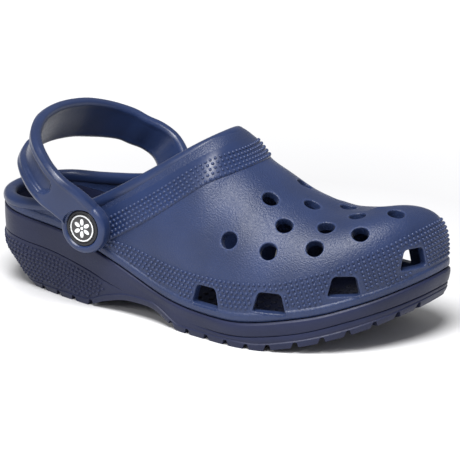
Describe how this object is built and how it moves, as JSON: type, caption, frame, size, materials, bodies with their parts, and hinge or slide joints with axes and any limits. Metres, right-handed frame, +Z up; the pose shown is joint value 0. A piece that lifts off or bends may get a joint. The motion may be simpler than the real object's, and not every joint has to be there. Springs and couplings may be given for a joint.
{
  "type": "foam garden clog",
  "caption": "Right-foot moulded foam clog with a vented closed toe, cupped heel, lugged tread and a pivoting heel strap held by rivets.",
  "frame": {"origin": "on the ground under the middle of the clog's bounding box", "axes": "+X towards the toe, +Y towards the inner (big-toe) side of the foot, +Z up"},
  "size_m": [0.29, 0.136, 0.1141],
  "materials": {
    "upper_foam": "satin navy closed-cell foam with a fine moulded grain",
    "sole_foam": "satin navy closed-cell foam, slightly duller at the tread",
    "strap_foam": "satin navy closed-cell foam, smoother than the upper",
    "rivet_plastic": "dark moulded plastic",
    "badge_print": "printed disc, pale motif on dark ground, under clear gloss"
  },
  "bodies": {
    "clog_body": {"sole": "sole_foam", "upper": "upper_foam", "strap_washer_outer": "rivet_plastic", "strap_washer_inner": "rivet_plastic", "rivet_socket_outer": "rivet_plastic", "rivet_socket_inner": "rivet_plastic", "rivet_stud_outer": "rivet_plastic", "rivet_badge_outer": "badge_print", "rivet_stud_inner": "rivet_plastic", "rivet_badge_inner": "badge_print"},
    "strap": {"heel_strap": "strap_foam"}
  },
  "joints": [
    {"name": "strap_pivot", "type": "hinge", "parent": "clog_body", "child": "strap", "pos_m": [-0.056, 0, 0.0545], "axis": [0, 1, 0], "range_deg": [-20, 84]}
  ]
}
